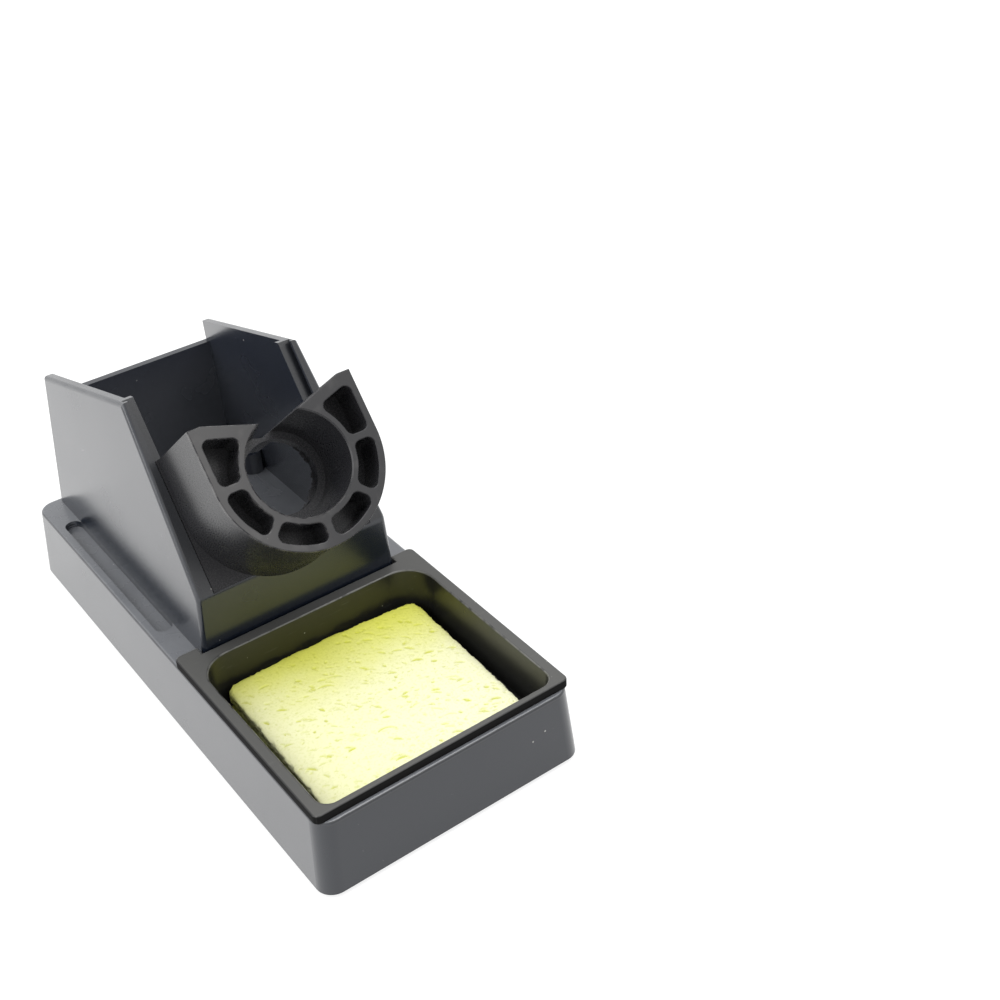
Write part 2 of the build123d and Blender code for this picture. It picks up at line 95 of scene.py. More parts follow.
class Value:
    """A shader socket that takes part in Python arithmetic."""

    def __init__(self, shader: "Shader", socket: bpy.types.NodeSocket) -> None:
        """Wraps one output socket.

        Args:
            shader: The node tree that the socket belongs to.
            socket: The output socket.
        """
        self.shader = shader
        self.socket = socket

    def sibling(self, name: str) -> "Value":
        """Another output of the same node.

        Args:
            name: The output's name.

        Returns:
            That output.
        """
        return Value(self.shader, self.socket.node.outputs[name])

    def _math(self, operation: str, *operands: Operand) -> "Value":
        """Adds a Math node.

        Args:
            operation: The node's operation.
            operands: Its inputs in order.

        Returns:
            The node's result.
        """
        return self.shader.add("ShaderNodeMath", {"operation": operation}, dict(enumerate(operands)))

    def __add__(self, other: Operand) -> "Value":
        """Sum."""
        return self._math("ADD", self, other)

    __radd__ = __add__

    def __sub__(self, other: Operand) -> "Value":
        """Difference."""
        return self._math("SUBTRACT", self, other)

    def __rsub__(self, other: Operand) -> "Value":
        """Difference with a number on the left."""
        return self._math("SUBTRACT", other, self)

    def __mul__(self, other: Operand) -> "Value":
        """Product."""
        return self._math("MULTIPLY", self, other)

    __rmul__ = __mul__

    def __truediv__(self, other: Operand) -> "Value":
        """Quotient."""
        return self._math("DIVIDE", self, other)

    def __rtruediv__(self, other: Operand) -> "Value":
        """Quotient with a number on the left."""
        return self._math("DIVIDE", other, self)

    def __abs__(self) -> "Value":
        """Size without sign."""
        return self._math("ABSOLUTE", self)

    def larger(self, other: Operand) -> "Value":
        """The larger of two values.

        Args:
            other: The second value.

        Returns:
            The larger one at each place.
        """
        return self._math("MAXIMUM", self, other)

    def ramp(self, low: float, high: float) -> "Value":
        """A smooth step.

        Args:
            low: Where the step starts; above high, the step falls.
            high: Where it ends.

        Returns:
            Zero before low, one past high.
        """
        settings = {"interpolation_type": "SMOOTHSTEP", "clamp": True}
        if low < high:
            limits = {"Value": self, "From Min": low, "From Max": high}
        else:
            limits = {"Value": self, "From Min": high, "From Max": low, "To Min": 1.0, "To Max": 0.0}
        return self.shader.add("ShaderNodeMapRange", settings, limits)


class Shader:
    """The node tree of a material or of the world."""

    def __init__(self, owner: Union[bpy.types.Material, bpy.types.World]) -> None:
        """Starts an empty tree.

        Args:
            owner: The material or world that the tree belongs to.
        """
        owner.use_nodes = True
        self.owner = owner
        self.tree = owner.node_tree
        self.tree.nodes.clear()

    def add(
        self,
        kind: str,
        settings: Mapping[str, Any] | None = None,
        inputs: Mapping[Union[str, int], Any] | None = None,
        output: Union[str, int] = 0,
    ) -> Value:
        """Adds any node.

        Args:
            kind: The node's type.
            settings: Its properties.
            inputs: Values or links by socket name or number.
            output: The socket to hand back.

        Returns:
            The chosen output.
        """
        node = self.tree.nodes.new(kind)
        for key, setting in (settings or {}).items():
            setattr(node, key, setting)
        for key, value in (inputs or {}).items():
            socket = node.inputs[key]
            if isinstance(value, Value):
                self.tree.links.new(value.socket, socket)
            elif isinstance(value, tuple) and socket.type == "RGBA":
                socket.default_value = (*value, 1.0)
            else:
                socket.default_value = value
        return Value(self, node.outputs[output])

    def end(self, surface: Value) -> Union[bpy.types.Material, bpy.types.World]:
        """Ends the tree.

        Args:
            surface: The last shader.

        Returns:
            The finished material or world.
        """
        world = isinstance(self.owner, bpy.types.World)
        output = self.tree.nodes.new("ShaderNodeOutputWorld" if world else "ShaderNodeOutputMaterial")
        self.tree.links.new(surface.socket, output.inputs["Surface"])
        return self.owner


class Skin(Shader):
    """A material's tree, with places in millimetres of the object's own frame."""

    def __init__(self, name: str) -> None:
        """Starts an empty material.

        Args:
            name: The material's name.
        """
        super().__init__(bpy.data.materials.new(name))
        metres = self.add("ShaderNodeTexCoord", output="Object")
        self.normal = metres.sibling("Normal")
        scale = {"operation": "SCALE"}
        self.place = self.add("ShaderNodeVectorMath", scale, {"Vector": metres, "Scale": 1.0 / MM})

    def noise(self, scale: float, detail: float = 2.0, stretch: Triple | None = None) -> Value:
        """Cloudy noise.

        Args:
            scale: Waves per millimetre.
            detail: Octaves of finer noise.
            stretch: Scale along each axis, for streaks.

        Returns:
            The noise, from zero to one.
        """
        place = self.place
        if stretch:
            place = self.add("ShaderNodeVectorMath", {"operation": "MULTIPLY"}, {0: place, 1: stretch})
        return self.add("ShaderNodeTexNoise", {}, {"Vector": place, "Scale": scale, "Detail": detail})

    def specks(self, spacing: float, radius: float, share: float) -> Value:
        """Scattered round grains.

        Args:
            spacing: Mean distance between grains, in millimetres.
            radius: Largest grain's radius, in millimetres.
            share: Share of the grains that are kept.

        Returns:
            One on a grain, else zero.
        """
        inputs = {"Vector": self.place, "Scale": 1.0 / spacing}
        cell = self.add("ShaderNodeTexVoronoi", {}, inputs, "Distance")
        luck = self.add("ShaderNodeSeparateColor", {}, {"Color": cell.sibling("Color")}, "Red")
        reach = luck.ramp(1.0 - share, 1.0) * (radius / spacing)
        return (reach - cell).ramp(0.0, 0.2 * radius / spacing)

    def axes(self, vector: Value) -> tuple[Value, Value, Value]:
        """Splits a vector into its three parts.

        Args:
            vector: The vector.

        Returns:
            Its parts along X, Y and Z.
        """
        first = self.add("ShaderNodeSeparateXYZ", {}, {"Vector": vector})
        return first, first.sibling("Y"), first.sibling("Z")

    def along(self, vector: Value, direction: Triple) -> Value:
        """Length of a vector along a direction.

        Args:
            vector: The vector.
            direction: A direction of length one.

        Returns:
            Their dot product.
        """
        dot = {"operation": "DOT_PRODUCT"}
        return self.add("ShaderNodeVectorMath", dot, {0: vector, 1: direction}, "Value")

    def corners(self, faces: Sequence[Triple]) -> Value:
        """Rounded edges, by their normals.

        Args:
            faces: Normals of the plain faces, either way round.

        Returns:
            One where the surface turns away from every plain face, else zero.
        """
        nearest = abs(self.along(self.normal, faces[0]))
        for face in faces[1:]:
            nearest = nearest.larger(abs(self.along(self.normal, face)))
        return nearest.ramp(0.985, 0.85)

    def mix(self, factor: Operand, first: Any, second: Any) -> Value:
        """Mixes two colours.

        Args:
            factor: Share of the second colour.
            first: Colour at zero.
            second: Colour at one.

        Returns:
            The mixed colour.
        """
        colours = {0: factor, 6: first, 7: second}
        return self.add("ShaderNodeMix", {"data_type": "RGBA", "clamp_factor": True}, colours, 2)

    def bump(self, height: Value, distance: float, strength: float) -> Value:
        """Turns a height into a normal.

        Args:
            height: Height from zero to one.
            distance: Height of one, in millimetres.
            strength: Share of the effect.

        Returns:
            The normal.
        """
        inputs = {"Height": height, "Distance": distance * MM, "Strength": strength}
        return self.add("ShaderNodeBump", {}, inputs)

    def principled(self, **inputs: Any) -> Value:
        """A Principled shader.

        Args:
            inputs: Socket names, with _ for a space, and their values or links.

        Returns:
            The shader.
        """
        named = {key.replace("_", " "): value for key, value in inputs.items()}
        return self.add("ShaderNodeBsdfPrincipled", {}, named)


class Finish(ABC):
    """A surface finish that makes its own material."""

    @abstractmethod
    def material(self) -> bpy.types.Material:
        """The finish as a material."""


def shade(colour: Colour, share: float) -> Colour:
    """A colour made darker or lighter.

    Args:
        colour: The colour to start from.
        share: Share of its light that is kept.

    Returns:
        The new colour.
    """
    return tuple(share * part for part in colour)


@dataclass(frozen=True)
class SatinPlastic(Finish):
    """Charcoal moulding with a satin skin, a parting line, dust, soft edge wear with a painted highlight,
    powdery dust with a painted sheen on the deck, painted light inside the hopper and painted shade on the
    slope-facing faces.
    """

    deck: float
    name: str = "satin_charcoal"
    colour: Colour = (0.009, 0.013, 0.022)
    # Tone of scuffs, grime and edge wear, also used for painted highlights on edges and at deck level.
    rubbed_and_lit: Colour = (0.105, 0.108, 0.115)
    # Tone of powdery dust on the deck, which also stands in for a painted sheen.
    powder_and_sheen: Colour = (0.205, 0.214, 0.232)
    # The inner and shadow tones are painted light: paler tones that lift the shaded inside of the hopper.
    inner: Colour = (0.050, 0.056, 0.078)
    shadow: Colour = (0.120, 0.126, 0.140)
    # This dark tone fills the parting line, and is painted shade on the faces that face along the slope.
    parting_and_shade: Colour = (0.016, 0.017, 0.020)
    dust: Colour = (0.62, 0.61, 0.58)
    roughness: float = 0.26
    coat_roughness: float = 0.22
    ior: float = 1.6
    grain_depth: float = 0.014
    grain_share: float = 0.30
    parting_drop: float = 1.15
    hopper_rear: Span = (20.0, 40.0)
    hopper_depth: Span = (74.0, 46.0)
    slope: Triple = (0.0, -0.793, 0.609)
    cheek_top: Triple = (0.0, 0.286, 0.958)
    faces: tuple[Triple, ...] = ((1.0, 0.0, 0.0), (0.0, 1.0, 0.0), (0.0, 0.0, 1.0), slope, cheek_top)

    def material(self) -> bpy.types.Material:
        """The finish as a material."""
        skin = Skin(self.name)
        x, y, z = skin.axes(skin.place)
        nx, ny, nz = skin.axes(skin.normal)
        cloud = skin.noise(0.05, 3.0)
        grain = skin.noise(4.5, 2.0)
        # Painted light: the hopper's inner walls are painted paler, and paler again towards its bottom.
        rear = ny.ramp(-0.7, -0.95) * y.ramp(*self.hopper_rear)
        inside = (0.4 * (x * nx).ramp(-3.0, -12.0)).larger(rear)
        # Painted shade: faces that face along the slope, the cheeks' front band among them, are painted a
        # plain dark tone.
        front = skin.along(skin.normal, self.slope).ramp(0.93, 0.98)
        flat = nz.ramp(0.75, 0.95)
        scuff = flat * skin.noise(0.35, 4.0, (1.0, 0.12, 0.5)).ramp(0.60, 0.78)
        grime = flat * skin.noise(0.09, 4.0).ramp(0.45, 0.75)
        # Wear and a painted highlight along upward-facing rounded edges.
        edge = skin.corners(self.faces) * nz.ramp(0.10, 0.35) * skin.noise(0.2, 3.0).ramp(0.25, 0.65)
        # Paler line painted on non-flat faces at deck level, along the base's top edge rounding and the
        # cheek feet; on the top edge rounding it is a painted highlight.
        deck_line = abs(z - self.deck).ramp(0.45, 0.10) * (1.0 - flat)
        parting = abs(z - (self.deck - self.parting_drop)).ramp(0.24, 0.12) * ny.ramp(-0.80, -0.97)
        dust = skin.specks(4.2, 0.34, 0.55) * skin.noise(0.04, 2.0).ramp(0.42, 0.62)
        lint = skin.specks(1.6, 0.14, 0.18) * (0.25 + 0.75 * flat)
        colour = skin.mix(0.35 * cloud, self.colour, shade(self.colour, 0.72))
        # Painted light inside the hopper.
        colour = skin.mix(0.80 * inside, colour, self.inner)
        colour = skin.mix(0.65 * inside * z.ramp(*self.hopper_depth), colour, self.shadow)
        # Painted shade on the slope-facing faces.
        colour = skin.mix(0.85 * front, colour, self.parting_and_shade)
        colour = skin.mix(0.16 * scuff + 0.10 * grime, colour, self.rubbed_and_lit)
        # Deck painted paler: powdery dust and a painted sheen.
        powder_and_sheen = flat * z.ramp(self.deck + 3.0, self.deck + 1.0) * (0.50 + 0.50 * cloud)
        colour = skin.mix(powder_and_sheen, colour, self.powder_and_sheen)
        # Edge wear with its painted highlight, and the painted line at deck level.
        colour = skin.mix(0.30 * edge + 0.45 * deck_line, colour, self.rubbed_and_lit)
        colour = skin.mix(0.85 * parting, colour, self.parting_and_shade)
        colour = skin.mix(0.85 * dust.larger(lint), colour, self.dust)
        roughness = self.roughness + 0.10 * (cloud - 0.5) + 0.10 * scuff + 0.08 * grime + 0.4 * dust
        height = grain + dust - 4.0 * parting
        normal = skin.bump(height, self.grain_depth, self.grain_share)
        polish = 0.50 + 0.20 * abs(nx) - 0.30 * abs(ny)
        gloss = {"IOR": self.ior, "Coat_Weight": polish, "Coat_Roughness": self.coat_roughness}
        return skin.end(skin.principled(Base_Color=colour, Roughness=roughness, Normal=normal, **gloss))


@dataclass(frozen=True)
class GrainyPlastic(Finish):
    """Black heat-resisting moulding with a dry grain, a paler raised lip round its face that fades out
    towards the right, and a face painted paler towards its left, partly wear and partly painted light.
    """

    axis: Triple
    face: float
    name: str = "grainy_black"
    colour: Colour = (0.016, 0.016, 0.018)
    # Tone of streaks and wear, also painted light on the face.
    rubbed_and_lit: Colour = (0.135, 0.132, 0.130)
    grit: Colour = (0.34, 0.33, 0.31)
    roughness: float = 0.27
    ior: float = 1.43
    grain_depth: float = 0.030
    grain_share: float = 0.30

    def material(self) -> bpy.types.Material:
        """The finish as a material."""
        skin = Skin(self.name)
        x = skin.axes(skin.place)[0]
        ahead = skin.along(skin.place, self.axis) - self.face
        facing = skin.along(skin.normal, self.axis)
        grain = skin.noise(2.6, 4.0)
        fine = skin.noise(7.0, 2.0)
        streak = skin.noise(0.5, 4.0, (1.0, 0.25, 0.25)).ramp(0.56, 0.75)
        pale = skin.noise(0.22, 4.0).ramp(0.52, 0.80)
        wear = skin.noise(0.45, 5.0)
        # Paler raised lip round the face, fading out towards the right.
        lip = ahead.ramp(-2.2, -0.2) * facing.ramp(0.97, 0.80) * x.ramp(16.0, -6.0) * wear.ramp(0.42, 0.62)
        top = ahead.ramp(-0.4, -0.1) * facing.ramp(0.95, 0.99)
        # Face painted paler, more towards its left: partly wear, partly painted light.
        worn_and_lit = top * (0.12 + 0.38 * x.ramp(8.0, -22.0) + 0.20 * pale)
        grit = skin.specks(1.5, 0.14, 0.25)
        colour = skin.mix(0.5 * grain, self.colour, shade(self.colour, 1.9))
        colour = skin.mix(0.05 * streak + 0.04 * pale, colour, self.rubbed_and_lit)
        # Paler face, partly wear and partly painted light, and the paler lip round it.
        colour = skin.mix(worn_and_lit + 0.70 * lip, colour, self.rubbed_and_lit)
        colour = skin.mix(0.40 * grit, colour, self.grit)
        roughness = self.roughness + 0.14 * (grain - 0.5) + 0.22 * top
        height = (0.4 + 0.6 * top) * (grain + 0.5 * fine) + 1.5 * grit + 1.2 * lip * wear
        normal = skin.bump(height, self.grain_depth, self.grain_share)
        return skin.end(skin.principled(Base_Color=colour, Roughness=roughness, Normal=normal, IOR=self.ior))


@dataclass(frozen=True)
class TrayPlastic(Finish):
    """Black moulding with a slight gloss, fine scratches, a paler rim top, rim sides painted near-black
    without gloss as painted shade, and mouth edges painted bright as wear and painted highlight.
    """

    half_width: float
    front: float
    rim_top: float
    name: str = "tray_black"
    colour: Colour = (0.016, 0.016, 0.016)
    # Tone of scratches and wear, also used for the paler rim top and a painted highlight on the mouth edges.
    worn_and_lit: Colour = (0.30, 0.30, 0.285)
    # Near-black tone of the painted shade on the rim's outer sides.
    dull: Colour = (0.007, 0.007, 0.007)
    dust: Colour = (0.55, 0.55, 0.50)
    roughness: float = 0.30
    ior: float = 1.5
    grain_depth: float = 0.04
    grain_share: float = 0.25
    rim_thickness: float = 2.5

    def material(self) -> bpy.types.Material:
        """The finish as a material."""
        skin = Skin(self.name)
        x, y, z = skin.axes(skin.place)
        nz = skin.axes(skin.normal)[2]
        cloud = skin.noise(0.08, 3.0)
        grain = skin.noise(3.5, 3.0)
        scratch = skin.noise(0.9, 4.0, (0.15, 1.0, 1.0)).ramp(0.62, 0.74)
        rim = z.ramp(self.rim_top - self.rim_thickness - 0.3, self.rim_top - self.rim_thickness)
        beyond = abs(x).ramp(self.half_width - 0.8, self.half_width - 0.4)
        beyond = beyond.larger(y.ramp(self.front + 0.8, self.front + 0.4))
        # Painted shade: the rim's outer sides get a near-black surface without gloss.
        side = rim * beyond * nz.ramp(0.80, 0.40)
        # Mouth edges painted bright: partly wear, partly painted highlight.
        edge = nz.ramp(0.15, 0.45) * nz.ramp(0.995, 0.92) * z.ramp(self.rim_top - 1.2, self.rim_top - 0.4)
        edge = edge * (1.0 - beyond) * skin.noise(0.30, 4.0).ramp(0.30, 0.55)
        # Rim top, painted paler.
        top = nz.ramp(0.97, 0.995) * z.ramp(self.rim_top - 1.0, self.rim_top - 0.3)
        dust = skin.specks(2.6, 0.20, 0.35)
        colour = skin.mix(0.4 * cloud, self.colour, shade(self.colour, 0.6))
        colour = skin.mix(0.24 * top + 0.06 * scratch, colour, self.worn_and_lit)
        # Mouth edges: partly wear, partly painted highlight.
        colour = skin.mix(0.45 * edge, colour, self.worn_and_lit)
        colour = skin.mix(0.7 * dust, colour, self.dust)
        roughness = self.roughness + 0.10 * top + 0.12 * (cloud - 0.5) + 0.10 * scratch + 0.3 * dust
        normal = skin.bump(grain + 0.4 * scratch + 2.0 * dust, self.grain_depth, self.grain_share)
        gloss = skin.principled(Base_Color=colour, Roughness=roughness, Normal=normal, IOR=self.ior)
        # Near-black surface without gloss: painted shade on the rim's outer sides.
        painted_shade = skin.principled(Base_Color=self.dull, Roughness=0.9, Specular_IOR_Level=0.1)
        return skin.end(skin.add("ShaderNodeMixShader", {}, {0: 0.95 * side, 1: gloss, 2: painted_shade}))


@dataclass(frozen=True)
class Cellulose(Finish):
    """Yellow-green sponge, painted paler towards its front and front-right as painted light, with painted
    shade on its sides, darker pits and pores as painted shade in the hollows, and a fine open cell.
    """

    low: Triple
    high: Triple
    name: str = "sponge_cellulose"
    colour: Colour = (0.86, 0.87, 0.130)
    # Paler tones of the painted light towards the front and front-right.
    painted_front_light: Colour = (0.93, 0.93, 0.560)
    pale: Colour = (0.94, 0.94, 0.740)
    # Darker tone of the cell mottle, and of the painted shade in pores and pits.
    deep: Colour = (0.58, 0.61, 0.022)
    # Tone of the painted shade on the sponge's sides.
    shadow: Colour = (0.22, 0.24, 0.020)
    roughness: float = 0.92
    ior: float = 1.4
    cell_depth: float = 0.30
    cell_share: float = 0.28

    def material(self) -> bpy.types.Material:
        """The finish as a material."""
        skin = Skin(self.name)
        x, y, z = skin.axes(skin.place)
        pit = skin.add("ShaderNodeAttribute", {"attribute_name": "pit"}, {}, "Fac")
        cloud = skin.noise(0.05, 3.0)
        cell = skin.noise(1.4, 4.0)
        fine = skin.noise(4.0, 3.0)
        pore = skin.specks(1.1, 0.26, 0.40)
        across = (x - self.low[0]) / (self.high[0] - self.low[0])
        ahead = (self.high[1] - y) / (self.high[1] - self.low[1])
        # Painted light: paler towards the front, and towards the left at the rear.
        front_light_share = (ahead + 0.22 * (0.5 - across) * (1.0 - ahead) + 0.3 * (cloud - 0.5)).ramp(0.0, 0.5)
        # Painted shade on the sponge's sides, below its top.
        side = z.ramp(self.high[2] - 1.2, self.high[2] - 2.8)
        colour = skin.mix(front_light_share, self.colour, self.painted_front_light)
        # Painted light: paler again towards the front-right.
        colour = skin.mix(0.6 * across * ahead, colour, self.pale)
        colour = skin.mix(0.20 * cell.ramp(0.48, 0.70), colour, self.deep)
        # Pores painted darker: painted shade in the hollows.
        colour = skin.mix(0.22 * pore, colour, self.deep)
        # Painted shade on the sides.
        colour = skin.mix(0.60 * side, colour, self.shadow)
        # Pits painted darker by their depth: painted shade in the hollows.
        colour = skin.mix(pit, colour, self.deep)
        height = 0.6 * cell + 0.4 * fine - 0.5 * pore
        normal = skin.bump(height, self.cell_depth, self.cell_share)
        look = {"Base_Color": colour, "Roughness": self.roughness, "Normal": normal, "IOR": self.ior}
        return skin.end(skin.principled(**look))


@dataclass(frozen=True)
class Rubber(Finish):
    """Matt black rubber with a grey bloom."""

    name: str = "foot_rubber"
    colour: Colour = (0.022, 0.022, 0.022)
    bloom: Colour = (0.075, 0.073, 0.070)
    roughness: float = 0.72
    ior: float = 1.5
    grain_depth: float = 0.06
    grain_share: float = 0.4

    def material(self) -> bpy.types.Material:
        """The finish as a material."""
        skin = Skin(self.name)
        bloom = skin.noise(0.5, 4.0).ramp(0.45, 0.75)
        grain = skin.noise(5.0, 3.0)
        colour = skin.mix(0.6 * bloom, self.colour, self.bloom)
        normal = skin.bump(grain, self.grain_depth, self.grain_share)
        roughness = self.roughness + 0.15 * bloom
        return skin.end(skin.principled(Base_Color=colour, Roughness=roughness, Normal=normal, IOR=self.ior))


@dataclass(frozen=True)
class ZincSteel(Finish):
    """Zinc-plated steel with turned marks and a few dull patches."""

    name: str = "screw_zinc"
    colour: Colour = (0.58, 0.58, 0.57)
    dull: Colour = (0.34, 0.33, 0.31)
    roughness: float = 0.28
    mark_depth: float = 0.02
    mark_share: float = 0.3

    def material(self) -> bpy.types.Material:
        """The finish as a material."""
        skin = Skin(self.name)
        patch = skin.noise(0.8, 4.0).ramp(0.45, 0.70)
        turned = skin.noise(6.0, 2.0, (1.0, 1.0, 0.2))
        colour = skin.mix(0.7 * patch, self.colour, self.dull)
        roughness = self.roughness + 0.25 * patch + 0.08 * turned
        normal = skin.bump(turned, self.mark_depth, self.mark_share)
        return skin.end(skin.principled(Base_Color=colour, Metallic=1.0, Roughness=roughness, Normal=normal))


def deselect() -> None:
    """Leaves object mode with nothing selected."""
    if bpy.context.mode != "OBJECT":
        bpy.ops.object.mode_set(mode="OBJECT")
    bpy.ops.object.select_all(action="DESELECT")


def node_box(name: str) -> tuple[np.ndarray, np.ndarray]:
    """Box of a CAD node at rest.

    Args:
        name: The node.

    Returns:
        Its lowest and its highest corner, in millimetres.
    """
    low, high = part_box(name)
    return np.array(low) / MM, np.array(high) / MM


def mesh_points(piece: bpy.types.Object) -> np.ndarray:
    """Places of a mesh's corners.

    Args:
        piece: The mesh's object.

    Returns:
        One row per corner, in millimetres.
    """
    flat = np.empty(3 * len(piece.data.vertices))
    piece.data.vertices.foreach_get("co", flat)
    return flat.reshape(-1, 3) / MM


def move_points(piece: bpy.types.Object, points: np.ndarray) -> None:
    """Moves a mesh's corners.

    Args:
        piece: The mesh's object.
        points: One row per corner, in millimetres.
    """
    piece.data.vertices.foreach_set("co", (points * MM).ravel())
    piece.data.update()


def dress(names: Sequence[str], finish: Finish) -> None:
    """Gives CAD nodes a finish.

    Args:
        names: The nodes.
        finish: Their finish.
    """
    material = finish.material()
    for name in names:
        for slot in frame["nodes"][name].material_slots:
            slot.material = material
        LOG.info("dressed %s in %s", name, material.name)


@dataclass
class Stand:
    """Base, hopper, feet and screws, which stay where they are."""

    mouldings: tuple[str, ...] = ("base_shell", "tower_shell")
    feet: tuple[str, ...] = ("foot_front_left", "foot_front_right", "foot_rear_left", "foot_rear_right")
    screws: tuple[str, ...] = ("tower_screws",)

    def dress(self) -> None:
        """Gives each node its finish."""
        deck = float(node_box("base_shell")[1][2])
        dress(self.mouldings, SatinPlastic(deck))
        dress(self.feet, Rubber())
        dress(self.screws, ZincSteel())


@dataclass
class Receptacle:
    """Sliding holder with its bore liner and the thin moulding flash left inside the bore.

    Sizes are in millimetres, the flash's ends in degrees round the bore and its taper in radians.
    """

    mouldings: tuple[str, ...] = ("iron_receptacle", "bore_liner")
    mount: str = "iron_seat"
    flash_from: float = -78.0
    flash_to: float = 40.0
    flash_reach: float = 1.0
    flash_thickness: float = 0.25
    flash_steps: int = 240
    flash_mean: float = 0.45
    flash_limits: Span = (0.05, 1.3)
    flash_taper: float = 0.35
    flash_waves: tuple[Span, ...] = ((5.0, 0.25), (13.0, 0.22), (29.0, 0.20), (61.0, 0.16))
    seed: int = 5
    axis: np.ndarray = field(init=False)
    middle: np.ndarray = field(init=False)
    radius: float = field(init=False)
    length: float = field(init=False)

    def __post_init__(self) -> None:
        """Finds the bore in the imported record."""
        seat = next(mount for mount in frame["record"]["mounts"] if mount["name"] == self.mount)
        self.axis = np.array(seat["axis"])
        self.middle = np.array(seat["pos_m"]) / MM
        self.radius = float(seat["dims"]["r_mm"])
        self.length = float(seat["dims"]["length_mm"])

    def finish(self) -> GrainyPlastic:
        """The moulding's finish, lined up with the face round the bore."""
        face = (mesh_points(frame["nodes"][self.mouldings[0]]) @ self.axis).max()
        return GrainyPlastic(tuple(float(part) for part in self.axis), float(face))

    def build(self) -> bpy.types.Object:
        """Models the ragged fin of flash on the rear edge of the bore.

        Returns:
            The finished piece.
        """
        deselect()
        bpy.ops.mesh.primitive_circle_add(vertices=self.flash_steps, radius=self.radius * MM)
        piece = bpy.context.object
        piece.name = "bore_flash"
        bpy.ops.object.mode_set(mode="EDIT")
        bpy.ops.mesh.select_all(action="DESELECT")
        bpy.ops.object.mode_set(mode="OBJECT")
        for corner in piece.data.vertices:
            angle = math.degrees(math.atan2(corner.co.y, corner.co.x))
            corner.select = not self.flash_from <= angle <= self.flash_to
        bpy.ops.object.mode_set(mode="EDIT")
        bpy.ops.mesh.delete(type="VERT")
        bpy.ops.mesh.select_all(action="SELECT")
        bpy.ops.mesh.extrude_edges_move()
        inner = 1.0 - 0.5 * self.flash_reach / self.radius
        bpy.ops.transform.resize(value=(inner, inner, 1.0), center_override=(0.0, 0.0, 0.0))
        bpy.ops.object.mode_set(mode="OBJECT")
        self._tear(piece)
        thicken = piece.modifiers.new("thickness", "SOLIDIFY")
        thicken.thickness = self.flash_thickness * MM
        thicken.offset = 0.0
        bpy.ops.object.modifier_apply(modifier=thicken.name)
        self._place(piece)
        return piece

    def _tear(self, piece: bpy.types.Object) -> None:
        """Makes the fin's inner edge ragged.

        Args:
            piece: The flat fin.
        """
        points = mesh_points(piece)
        reach = np.linalg.norm(points[:, :2], axis=1)
        angle = np.arctan2(points[:, 1], points[:, 0])
        chance = np.random.default_rng(self.seed)
        ragged = np.full(len(points), self.flash_mean)
        for waves, weight in self.flash_waves:
            ragged += weight * np.sin(waves * angle + chance.uniform(0.0, 2.0 * np.pi))
        start, stop = math.radians(self.flash_from), math.radians(self.flash_to)
        taper = np.clip(np.minimum(angle - start, stop - angle) / self.flash_taper, 0.0, 1.0)
        inner = reach < self.radius - 0.2 * self.flash_reach
        depth = self.flash_reach * np.clip(ragged, *self.flash_limits) * taper
        scale = np.where(inner, (self.radius - depth) / reach, 1.0)
        points[:, :2] *= scale[:, None]
        move_points(piece, points)

    def _place(self, piece: bpy.types.Object) -> None:
        """Lays the fin across the rear end of the bore.

        Args:
            piece: The finished fin, round the origin.
        """
        across = np.array((1.0, 0.0, 0.0))
        upward = np.cross(self.axis, across)
        rear = self.middle - (0.5 * self.length - self.flash_thickness) * self.axis
        points = mesh_points(piece)
        move_points(piece, points @ np.stack((across, upward, self.axis)) + rear)

    def dress(self, piece: bpy.types.Object) -> None:
        """Gives the nodes and the flash their finish.

        Args:
            piece: The modelled flash.
        """
        dress(self.mouldings, self.finish())
        piece.data.materials.append(frame["nodes"][self.mouldings[0]].material_slots[0].material)
        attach(piece, Body.RECEPTACLE.value)
        LOG.info("built %s with %d faces", piece.name, len(piece.data.polygons))


@dataclass
class Tray:
    """Drop-in tub."""

    mouldings: tuple[str, ...] = ("sponge_tray",)

    def dress(self) -> None:
        """Gives the tub its finish."""
        low, high = node_box(self.mouldings[0])
        dress(self.mouldings, TrayPlastic(float(high[0]), float(low[1]), float(high[2])))


